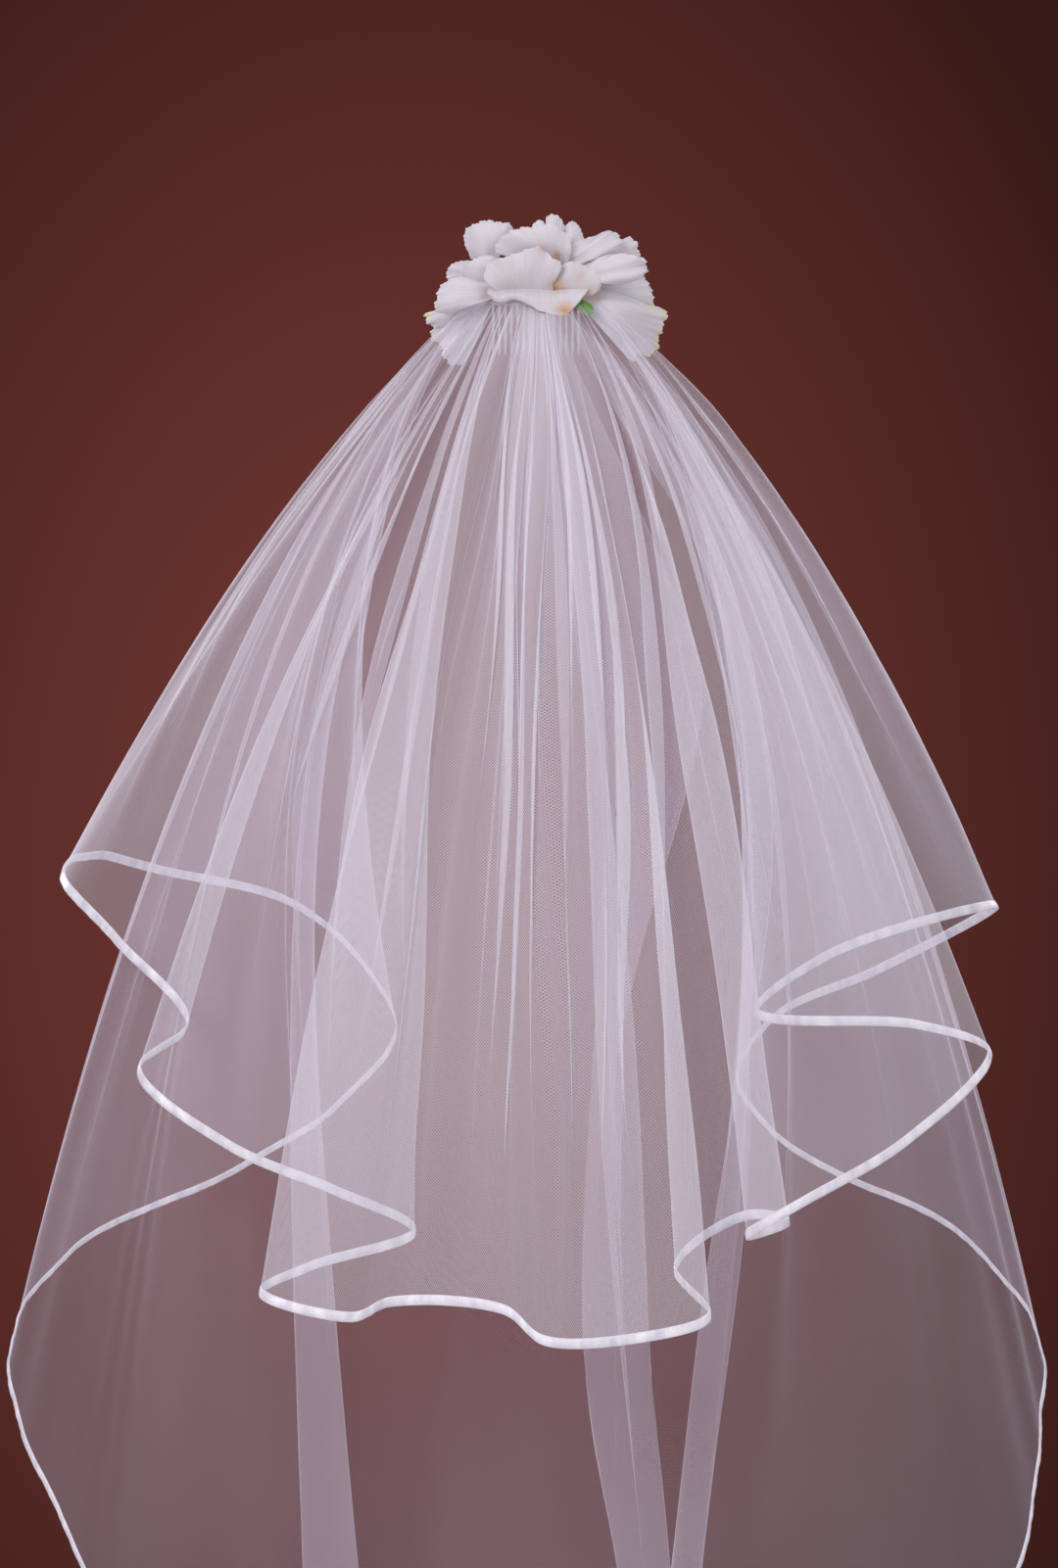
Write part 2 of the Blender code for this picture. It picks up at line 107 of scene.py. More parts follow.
def gridObject(name, points, mat, uvs=None, closed=False):
    columns, rings = points.shape[:2]
    ids = np.arange(columns * rings).reshape(columns, rings)
    if closed:
        ids = np.concatenate([ids, ids[:, :1]], axis=1)
    corners = [ids[:-1, :-1], ids[1:, :-1], ids[1:, 1:], ids[:-1, 1:]]
    faces = np.stack(corners, axis=-1).reshape(-1, 4)
    mesh = bpy.data.meshes.new(name)
    mesh.from_pydata(points.reshape(-1, 3).tolist(), [], faces.tolist())
    mesh.shade_smooth()
    mesh.materials.append(mat)
    if uvs is not None:
        layer = mesh.uv_layers.new(name="cloth")
        layer.data.foreach_set("uv", uvs.reshape(-1, 2)[faces.ravel()].ravel())
    obj = bpy.data.objects.new(name, mesh)
    scene.collection.objects.link(obj)
    return obj


def addValues(obj, name, values, kind="FLOAT", key="value"):
    layer = obj.data.attributes.new(name, kind, "POINT")
    layer.data.foreach_set(key, np.asarray(values, dtype=float).ravel())


def unit(vectors):
    return vectors / np.maximum(np.linalg.norm(vectors, axis=-1, keepdims=True), 1e-12)


def surfaceNormals(points):
    return unit(np.cross(np.gradient(points, axis=0), np.gradient(points, axis=1)))


net = {
    "rough": 0.6, "sheen": 0.25, "specular": 0.25,
    "pitch": 0.0013, "slant": 0.55,      # metres between threads, radians off the grain
    "hole": 0.5, "thread": 1.5,          # share of the depth in a hole and on a thread
    "grazing": 1.05, "patch": (9, 3, 1)}
bandScale = 0.314                        # the wave texture's scale for one band a metre


def netMaterial(name, colour):
    mat, tree, shader = newMaterial(name, colour, net["rough"], Sheen_Weight=net["sheen"], Sheen_Roughness=0.5)
    shader.inputs["Specular IOR Level"].default_value = net["specular"]
    cloth = addNode(tree, "ShaderNodeUVMap", uv_map="cloth").outputs[0]
    threads = []
    for turn in (net["slant"], -net["slant"]):
        wave = addNode(tree, "ShaderNodeTexWave", wave_type="BANDS", bands_direction="X", wave_profile="SIN")
        tree.links.new(placed(tree, cloth, (1, 1, 1), turn), wave.inputs["Vector"])
        wave.inputs["Scale"].default_value = bandScale / net["pitch"]
        threads.append(wave.outputs["Fac"])
    thread = mathNode(tree, "MAXIMUM", *threads)
    weave = mapped(tree, thread, 0.35, 0.95, net["hole"], net["thread"])
    uneven = mapped(tree, noise(tree, placed(tree, cloth, net["patch"]), 1.0, 2.0), 0.3, 0.7, 0.9, 1.1)
    depth = addNode(tree, "ShaderNodeAttribute", attribute_name="depth").outputs["Fac"]
    depth = mathNode(tree, "MULTIPLY", mathNode(tree, "MULTIPLY", depth, weave), uneven)
    facing = addNode(tree, "ShaderNodeLayerWeight")
    facing.inputs["Blend"].default_value = 0.5
    slope = mathNode(tree, "SUBTRACT", net["grazing"], facing.outputs["Facing"])   # threads crowd where it turns away
    passed = mathNode(tree, "EXPONENT", mathNode(tree, "MULTIPLY", mathNode(tree, "DIVIDE", depth, slope), -1.0))
    tree.links.new(mathNode(tree, "SUBTRACT", 1.0, passed), shader.inputs["Alpha"])
    return mat


# the last two colours are painted shade in the hollows of the creases and painted sheen on their ridges
satinLook = {
    "colour": (0.86, 0.85, 0.90), "rough": 0.27, "specular": 0.62, "stretch": 0.45,
    "weave": (420, 2600, 1), "crease": (95, 40, 1), "relief": 0.0009,
    "dull": (0.68, 0.65, 0.74, 1), "paintedSheen": (0.90, 0.89, 0.92, 1)}


def satinMaterial():
    look = satinLook
    mat, tree, shader = newMaterial("satin_white", look["colour"], look["rough"], Sheen_Weight=0.15)
    shader.inputs["Specular IOR Level"].default_value = look["specular"]
    shader.inputs["Anisotropic"].default_value = look["stretch"]
    cloth = addNode(tree, "ShaderNodeUVMap", uv_map="cloth").outputs[0]
    weave = noise(tree, placed(tree, cloth, look["weave"]), 1.0, 2.0)
    crease = noise(tree, placed(tree, cloth, look["crease"]), 1.0, 3.0)
    height = mathNode(tree, "ADD", mathNode(tree, "MULTIPLY", weave, 0.25), crease)
    bump(tree, shader, height, look["relief"], 0.7)
    # painted shade and sheen: the base colour is darker where the crease relief is low and lighter where it is high
    creaseShadeAndSheen = addNode(tree, "ShaderNodeMix", data_type="RGBA")
    feed(tree, creaseShadeAndSheen.inputs["Factor"], mapped(tree, crease, 0.35, 0.65, 0.0, 1.0))
    creaseShadeAndSheen.inputs["A"].default_value = look["dull"]
    creaseShadeAndSheen.inputs["B"].default_value = look["paintedSheen"]
    tree.links.new(creaseShadeAndSheen.outputs["Result"], shader.inputs["Base Color"])
    return mat


silkLook = {
    "colour": (0.88, 0.85, 0.88), "sheen": 0.35, "specular": 0.3, "glow": 0.12, "glowReach": 0.002,
    "veins": (34, 1.3, 1), "weave": (160, 160, 1), "relief": 0.0006, "shading": 0.5, "veinGrooveShade": (0.90, 0.87, 0.90, 1)}


def silkMaterial(name, rough=0.5):
    look = silkLook
    mat, tree, shader = newMaterial(name, look["colour"], rough, Sheen_Weight=look["sheen"], Sheen_Roughness=0.4)
    shader.inputs["Specular IOR Level"].default_value = look["specular"]
    shader.inputs["Subsurface Weight"].default_value = look["glow"]
    shader.inputs["Subsurface Scale"].default_value = look["glowReach"]
    cloth = addNode(tree, "ShaderNodeUVMap", uv_map="cloth").outputs[0]
    tintAndRootShade = addNode(tree, "ShaderNodeAttribute", attribute_name="tintAndRootShade").outputs["Color"]
    veins = noise(tree, placed(tree, cloth, look["veins"]), 1.0, 3.0)
    weave = noise(tree, placed(tree, cloth, look["weave"]), 1.0, 1.0)
    shade = addNode(tree, "ShaderNodeMix", data_type="RGBA", blend_type="MULTIPLY")
    shade.inputs["Factor"].default_value = look["shading"]
    tree.links.new(tintAndRootShade, shade.inputs["A"])
    # painted shade: the base colour darkens along the low grooves of the vein relief
    tone = addNode(tree, "ShaderNodeMix", data_type="RGBA")
    feed(tree, tone.inputs["Factor"], mapped(tree, veins, 0.35, 0.65, 0.0, 1.0))
    tone.inputs["A"].default_value = look["veinGrooveShade"]
    tone.inputs["B"].default_value = (1, 1, 1, 1)
    tree.links.new(tone.outputs["Result"], shade.inputs["B"])
    tree.links.new(shade.outputs["Result"], shader.inputs["Base Color"])
    height = mathNode(tree, "ADD", veins, mathNode(tree, "MULTIPLY", weave, 0.15))
    bump(tree, shader, height, look["relief"], 0.2)
    return mat


plasticLook = {
    "colour": (0.92, 0.92, 0.91), "rough": 0.15, "clear": 0.85, "flow": 160.0, "smooth": 0.14, "dull": 0.3,
    "relief": 0.0002}


def plasticMaterial():
    look = plasticLook
    mat, tree, shader = newMaterial("comb_plastic", look["colour"], look["rough"], Transmission_Weight=look["clear"])
    coords = addNode(tree, "ShaderNodeTexCoord").outputs["Object"]
    flow = noise(tree, coords, look["flow"], 3.0)
    tree.links.new(mapped(tree, flow, 0.3, 0.7, look["smooth"], look["dull"]), shader.inputs["Roughness"])
    bump(tree, shader, flow, look["relief"], 0.5)
    return mat


feltLook = {
    "colour": (0.82, 0.80, 0.78), "rough": 0.92, "sheen": 0.6, "fibre": 1400.0, "relief": 0.0008,
    "dark": (0.70, 0.67, 0.66, 1), "light": (0.90, 0.88, 0.86, 1)}


def feltMaterial():
    look = feltLook
    sheen = {"Sheen_Weight": look["sheen"], "Sheen_Roughness": 0.6}
    mat, tree, shader = newMaterial("base_felt", look["colour"], look["rough"], **sheen)
    coords = addNode(tree, "ShaderNodeTexCoord").outputs["Object"]
    fibre = noise(tree, coords, look["fibre"], 5.0)
    tone = addNode(tree, "ShaderNodeMix", data_type="RGBA")
    feed(tree, tone.inputs["Factor"], fibre)
    tone.inputs["A"].default_value = look["dark"]
    tone.inputs["B"].default_value = look["light"]
    tree.links.new(tone.outputs["Result"], shader.inputs["Base Color"])
    bump(tree, shader, fibre, look["relief"], 0.9)
    return mat


upperNet = netMaterial("tulle_upper", (0.87, 0.84, 0.91))
lowerNet = netMaterial("tulle_lower", (0.87, 0.82, 0.93))
satin = satinMaterial()
silk = silkMaterial("petal_silk")
calyxSilk = silkMaterial("calyx_silk", 0.55)
print("materials made")


# The veil's folds from comb to hem, read off the picture:
# place on the comb in mm, hem point x y z, sideways place of the knee, grip of the knee, gathers to the next fold
upperFolds = [
    (-39.0, -0.114, 0.195, -0.580, -0.190, 1.0, 0),
    (-38.5, -0.195, 0.232, -0.482, -0.205, 1.0, 0),
    (-37.7, -0.308, 0.150, -0.448, -0.204, 1.0, 0),
    (-37.0, -0.354, 0.085, -0.434, -0.199, 1.0, 0),
    (-36.4, -0.371, 0.020, -0.447, -0.194, 1.0, 0),    # far left tip
    (-34.4, -0.319, -0.055, -0.497, -0.172, 1.0, 0),
    (-31.8, -0.262, -0.100, -0.556, -0.160, 1.0, 0),
    (-29.2, -0.293, -0.145, -0.589, -0.156, 1.0, 0),   # second tip
    (-26.6, -0.224, -0.172, -0.642, -0.136, 1.0, 0),
    (-23.8, -0.147, -0.177, -0.674, -0.110, 1.0, 0),
    (-21.0, -0.088, -0.188, -0.702, -0.098, 1.0, 0),
    (-18.2, -0.162, -0.218, -0.724, -0.105, 1.0, 0),
    (-15.2, -0.196, -0.240, -0.740, -0.108, 1.0, 0),   # third tip
    (-11.6, -0.130, -0.258, -0.755, -0.075, 1.0, 2),
    (-6.9, -0.104, -0.238, -0.747, -0.054, 1.0, 2),
    (-1.8, -0.023, -0.250, -0.751, -0.012, 1.0, 2),
    (2.9, 0.004, -0.266, -0.770, 0.004, 1.0, 2),
    (7.7, 0.064, -0.272, -0.769, 0.035, 1.0, 2),
    (12.2, 0.122, -0.262, -0.754, 0.070, 1.0, 0),      # centre flap's corner
    (15.2, 0.100, -0.225, -0.724, 0.078, 1.0, 0),
    (18.0, 0.151, -0.190, -0.691, 0.096, 1.0, 0),
    (20.8, 0.181, -0.214, -0.692, 0.112, 1.0, 0),
    (23.6, 0.151, -0.248, -0.698, 0.120, 1.0, 0),      # narrow flap
    (26.2, 0.191, -0.262, -0.672, 0.136, 1.0, 0),
    (28.8, 0.268, -0.222, -0.632, 0.152, 1.0, 0),
    (31.2, 0.330, -0.178, -0.573, 0.180, 1.0, 0),      # right tip
    (33.2, 0.282, -0.154, -0.555, 0.176, 1.0, 0),
    (34.6, 0.165, -0.119, -0.548, 0.168, 1.0, 0),
    (35.9, 0.213, -0.085, -0.510, 0.180, 1.0, 0),
    (36.9, 0.358, 0.020, -0.473, 0.194, 1.0, 0),       # far right tip
    (37.7, 0.277, 0.155, -0.530, 0.202, 1.0, 0),
    (38.4, 0.200, 0.236, -0.572, 0.202, 1.0, 0),
    (39.0, 0.166, 0.205, -0.618, 0.190, 1.0, 0)]
lowerFolds = [
    (39.0, 0.166, 0.205, -0.618, 0.190, 1.0, 0),
    (38.0, 0.188, 0.160, -0.657, 0.182, 1.0, 0),
    (36.9, 0.251, 0.128, -0.694, 0.200, 1.0, 0),
    (35.0, 0.341, 0.090, -0.738, 0.228, 1.0, 0),
    (32.6, 0.392, 0.050, -0.800, 0.250, 1.0, 0),
    (30.2, 0.390, 0.008, -0.886, 0.258, 1.0, 0),
    (27.8, 0.375, -0.026, -0.965, 0.256, 1.1, 0),
    (25.4, 0.327, -0.050, -1.045, 0.250, 1.2, 0),
    (22.8, 0.245, -0.080, -1.095, 0.242, 1.4, 0),
    (20.0, 0.150, -0.106, -1.125, 0.230, 1.7, 0),
    (16.8, 0.081, -0.126, -1.140, 0.208, 1.9, 0),
    (13.6, 0.103, -0.106, -1.145, 0.188, 1.9, 0),
    (9.4, 0.070, -0.084, -1.150, 0.060, 1.2, 0),
    (5.4, 0.116, -0.058, -1.155, 0.052, 1.0, 1),
    (1.0, 0.039, -0.042, -1.160, 0.025, 1.0, 1),
    (-4.4, -0.035, -0.044, -1.160, -0.020, 1.0, 1),
    (-9.6, -0.100, -0.038, -1.155, -0.060, 1.0, 0),
    (-14.4, -0.170, -0.062, -1.145, -0.206, 1.9, 0),
    (-17.6, -0.112, -0.090, -1.138, -0.220, 1.9, 0),
    (-20.4, -0.177, -0.116, -1.125, -0.236, 1.8, 0),
    (-23.2, -0.249, -0.098, -1.085, -0.248, 1.5, 0),
    (-25.9, -0.316, -0.068, -1.015, -0.258, 1.2, 0),
    (-28.4, -0.365, -0.038, -0.935, -0.264, 1.1, 0),
    (-30.8, -0.403, -0.002, -0.860, -0.264, 1.0, 0),
    (-33.1, -0.406, 0.030, -0.800, -0.258, 1.0, 0),
    (-35.2, -0.369, 0.072, -0.747, -0.238, 1.0, 0),
    (-37.0, -0.303, 0.108, -0.714, -0.212, 1.0, 0),
    (-38.2, -0.216, 0.145, -0.676, -0.190, 1.0, 0)]
combEdge = {"straight": 0.031, "turn": 0.005, "z": 0.003}


def combPlace(along, clothY):
    turn = max(0.0, abs(along) - combEdge["straight"]) / combEdge["turn"]
    radius = combEdge["turn"] - clothY
    x = min(abs(along), combEdge["straight"]) + radius * math.sin(turn)
    return math.copysign(x, along), combEdge["turn"] - radius * math.cos(turn)


def foldValues(row, start):
    clothY, drop, kneeBack = start
    comb, x, y, z, knee, grip = row[:6]
    top = (*combPlace(comb / 1000, clothY), combEdge["z"])
    return (*top, knee, top[1] + kneeBack * (y - top[1]), drop * z, x, y, z, grip)


def edgeLoop():
    upperStart, lowerStart = (-0.0095, 0.27, 0.54), (-0.0034, 0.23, 0.44)
    turnStart = [(a + b) / 2 for a, b in zip(upperStart, lowerStart)]
    values = [foldValues(upperFolds[0], turnStart)]
    values += [foldValues(row, upperStart) for row in upperFolds[1:-1]]
    values.append(foldValues(upperFolds[-1], turnStart))
    values += [foldValues(row, lowerStart) for row in lowerFolds[1:]]
    return np.array(values), [row[-1] for row in upperFolds[:-1]] + [row[-1] for row in lowerFolds]


def betweenFolds(values, first, shares):
    four = [values[(first + k) % len(values)] for k in (-1, 0, 1, 2)]
    knots = [0.0]
    for a, b in zip(four, four[1:]):
        knots.append(knots[-1] + math.sqrt(np.linalg.norm(b[6:9] - a[6:9])))
    at = (knots[1] + (knots[2] - knots[1]) * np.asarray(shares))[:, None]

    def mixed(a, b, low, high):
        return ((high - at) * a + (at - low) * b) / (high - low)

    a1 = mixed(four[0], four[1], knots[0], knots[1])
    a2 = mixed(four[1], four[2], knots[1], knots[2])
    a3 = mixed(four[2], four[3], knots[2], knots[3])
    return mixed(mixed(a1, a2, knots[0], knots[2]), mixed(a2, a3, knots[1], knots[3]), knots[1], knots[2])


def clothColumns(first, last, perFold):
    values, gathers = edgeLoop()
    shares = np.arange(perFold) / perFold
    columns, phases, phase = [], [], 0.0
    for index in range(first, last):
        columns.append(betweenFolds(values, index, shares))
        phases.append(phase + gathers[index] * shares)
        phase += gathers[index]
    columns.append(betweenFolds(values, last, [0.0]))
    phases.append([phase])
    return np.concatenate(columns), np.concatenate(phases)


def alongFold(columns, t):
    top, knee, hem = columns[:, None, 0:3], columns[:, None, 3:6], columns[:, None, 6:9]
    a, b, c = (1 - t) ** 2, 2 * columns[:, 9][:, None] * t * (1 - t), t**2
    return (a[..., None] * top + b[..., None] * knee + c[..., None] * hem) / (a + b + c)[..., None]


gather = {"height": 0.003, "narrow": 0.008, "widest": 0.06, "rise": 0.05, "lap": 0.2, "lapRise": 0.03}


def gatherWaves(surface, shares, phases):   # the gathers at the middle of the back
    spacing = np.linalg.norm(np.gradient(surface, axis=0), axis=-1)
    width = spacing / np.maximum(np.gradient(phases)[:, None], 1e-6)
    ends = np.clip(np.minimum(phases, phases[-1] - phases), 0, 1)[:, None]
    rise = np.clip(shares / gather["rise"], 0, 1) * (1 - shares) ** 0.6
    turn = 2 * math.pi * (phases + 0.17 * np.sin(2.9 * phases))[:, None]
    turn = turn + 1.1 * np.sin(2.1 * phases)[:, None] * shares    # so that no two gathers are alike
    push = gather["height"] * width**2 / (width**2 + gather["narrow"]**2) * rise * ends * np.sin(turn)
    lapping = np.clip(shares / gather["lapRise"], 0, 1) * (1 - shares**3)
    lapping = lapping * (0.72 + 0.28 * np.sin(1.9 * phases + 0.6))[:, None]
    return push, -gather["lap"] * np.minimum(width, gather["widest"]) * ends * lapping * np.sin(2 * turn)


pleat = {"ends": 0.06, "wander": 0.45, "drift": 0.25, "steepest": 0.17}


def pleats(squeeze, arc, shares, waves, central):   # finer pleats, shallower where the cloth is squeezed together
    push, slide = np.zeros_like(squeeze), np.zeros_like(squeeze)
    ends = np.clip(np.minimum(arc, arc[-1] - arc) / pleat["ends"], 0, 1)[:, None]
    for k, (length, height, hemKeep, lap, begin) in enumerate(waves):
        wander = length * pleat["wander"] * np.sin(arc / (length * 0.83) + 1.7 * k)[:, None]
        drift = length * pleat["drift"] * np.sin(3.1 * shares + arc[:, None] * 7 + k)
        strength = 0.62 + 0.38 * np.sin(arc * (9 + 4 * k) + 2.3 * k)[:, None]
        reach = np.minimum(height, pleat["steepest"] * length * squeeze) * strength
        rise = np.clip((shares - begin) / (0.04 + begin), 0, 1)
        keep = rise * (1 - (1 - hemKeep) * shares**2)
        turn = 2 * math.pi * (arc[:, None] + wander + drift) / length
        push += reach * keep * np.sin(turn)
        lapping = lap * rise * (1 - shares**3) * (0.5 + 0.7 * central)
        slide -= lapping * length * squeeze * strength * np.sin(2 * turn)   # pleats lap over themselves near the comb
    return push * ends, slide * ends


# ribbon: its width. middle: hem length that lies in the folds at the comb. depth: how dense the net looks, with its
# factors beside and at the centre. waves: length and height of a pleat in metres, share of the height kept at the
# hem, lap, share of the drop where it begins.
upperCloth = {
    "name": "upper", "first": 0, "last": len(upperFolds) - 1, "perFold": 26, "rings": 92,
    "ribbon": 0.0075, "middle": 1.7, "depth": 0.17, "sides": 0.85, "centre": 1.95,
    "waves": [(0.185, 0.0100, 0.3, 0.25, 0.0), (0.092, 0.0038, 0.25, 0.10, 0.12), (0.050, 0.0012, 0.15, 0.0, 0.35)]}
lowerCloth = {
    "name": "lower", "first": len(upperFolds) - 1, "last": len(upperFolds) + len(lowerFolds) - 1, "perFold": 26,
    "rings": 100, "ribbon": 0.0062, "middle": 1.7, "depth": 0.105, "sides": 1.0, "centre": 1.25,
    "waves": [(0.195, 0.0100, 0.45, 0.18, 0.0), (0.096, 0.0042, 0.3, 0.08, 0.15), (0.050, 0.0012, 0.15, 0.0, 0.35)]}


veiling = {"centreWidth": 0.017, "opened": 0.68, "combSides": 0.26, "combCentre": 0.72, "fewest": 0.8, "most": 5.0}


def clothSurface(cloth):
    columns, phases = clothColumns(cloth["first"], cloth["last"], cloth["perFold"])
    tail = 2 * columns[:, 9] * np.linalg.norm(columns[:, 6:9] - columns[:, 3:6], axis=1)
    start = (1 - cloth["ribbon"] / tail)[:, None]
    shares = np.linspace(0, 1, cloth["rings"])[None, :] ** 1.1
    t = np.concatenate([shares * start, (start + 1) / 2, np.ones_like(start)], axis=1)
    shares = np.concatenate([shares, [[1.0, 1.0]]], axis=1)
    surface = alongFold(columns, t)
    arc = np.concatenate([[0], np.cumsum(np.linalg.norm(np.diff(columns[:, 6:9], axis=0), axis=1))])
    squeeze = np.linalg.norm(np.gradient(surface, axis=0), axis=-1) / np.gradient(arc)[:, None]
    central = np.exp(-(columns[:, :1] / veiling["centreWidth"]) ** 2)    # 1 at the middle of the comb
    push, slide = pleats(squeeze, arc, shares, cloth["waves"], central)
    gathered = gatherWaves(surface, shares, phases)
    push, slide = push + gathered[0], slide + gathered[1]
    sideways = unit(np.gradient(surface, axis=0))
    surface = surface + push[..., None] * surfaceNormals(surface) + slide[..., None] * sideways
    down = np.linalg.norm(np.diff(surface, axis=1), axis=-1)
    down = np.concatenate([np.zeros_like(down[:, :1]), np.cumsum(down, axis=1)], axis=1)
    uvs = np.stack([np.broadcast_to(arc[:, None], down.shape), down], axis=-1)
    wide = cloth["middle"] / arc[-1] + (1 - cloth["middle"] / arc[-1]) * shares
    layers = wide / np.maximum(squeeze, 0.02)           # how many times over the cloth lies there
    layers = np.clip(layers, veiling["fewest"], veiling["most"]) ** 0.45
    depth = layers * cloth["depth"] * (cloth["sides"] + (cloth["centre"] - cloth["sides"]) * central)
    opened = np.clip(shares / veiling["opened"], 0, 1)
    sparse = (veiling["combSides"] + veiling["combCentre"] * central) * (1 - opened)    # thinner beside the comb
    return surface, uvs, depth * (sparse + opened), arc


# Half of the ribbon's section: share of its width, mm out from the cloth. Then its ripples, each with length and
# height in metres, and the length over which they fade at the ends.
profileHalf = [(0.0, 0.22), (0.03, 0.55), (0.2, 0.78), (0.5, 0.92), (0.8, 0.8), (0.95, 0.45), (1.0, 0.0)]
pucker = {"long": (0.021, 0.00035), "short": (0.0087, 0.0002), "ends": 0.02}


def addRibbon(cloth, surface, arc):
    profile = profileHalf + [(along, -out) for along, out in reversed(profileHalf[:-1])]
    along, out = np.array(profile).T[:, None, :]
    top, hem = surface[:, -3], surface[:, -1]
    side = surfaceNormals(surface)[:, -2]
    side = unit(side + np.roll(side, 1, axis=0) + np.roll(side, -1, axis=0))
    side[0], side[-1] = side[1], side[-2]
    (longStep, longHeight), (shortStep, shortHeight) = pucker["long"], pucker["short"]
    ripple = longHeight * np.sin(arc * 2 * math.pi / longStep + 2 * np.sin(arc * 23))
    ripple = ripple + shortHeight * np.sin(arc * 2 * math.pi / shortStep)
    ends = np.clip(np.minimum(arc, arc[-1] - arc) / pucker["ends"], 0, 1)
    shift = (out / 1000 + (ripple * ends)[:, None] * (0.3 + 0.7 * along))[..., None] * side[:, None]
    points = top[:, None] + (hem - top)[:, None] * along[..., None] + shift
    uvs = np.stack(np.broadcast_arrays(arc[:, None], along * cloth["ribbon"]), axis=-1)
    return gridObject(cloth["name"] + "_satin_ribbon", points, satin, uvs, closed=True)


def addCloth(cloth, mat):
    surface, uvs, depth, arc = clothSurface(cloth)
    tier = gridObject(cloth["name"] + "_tulle", surface[:, :-1], mat, uvs[:, :-1])
    addValues(tier, "depth", depth[:, :-1])
    ribbon = addRibbon(cloth, surface, arc)
    for obj, node, slot in ((tier, "_tier", "tulle"), (ribbon, "_edging", "satin")):
        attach(obj, "root")
        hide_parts(cloth["name"] + node)
    area = sum(face.area for face in tier.data.polygons)
    print("%s tier: area %.3f m2, hem %.2f m, %d faces" % (cloth["name"], area, arc[-1], len(tier.data.polygons)))
    return tier, ribbon


upperTier, upperRibbon = addCloth(upperCloth, upperNet)
lowerTier, lowerRibbon = addCloth(lowerCloth, lowerNet)


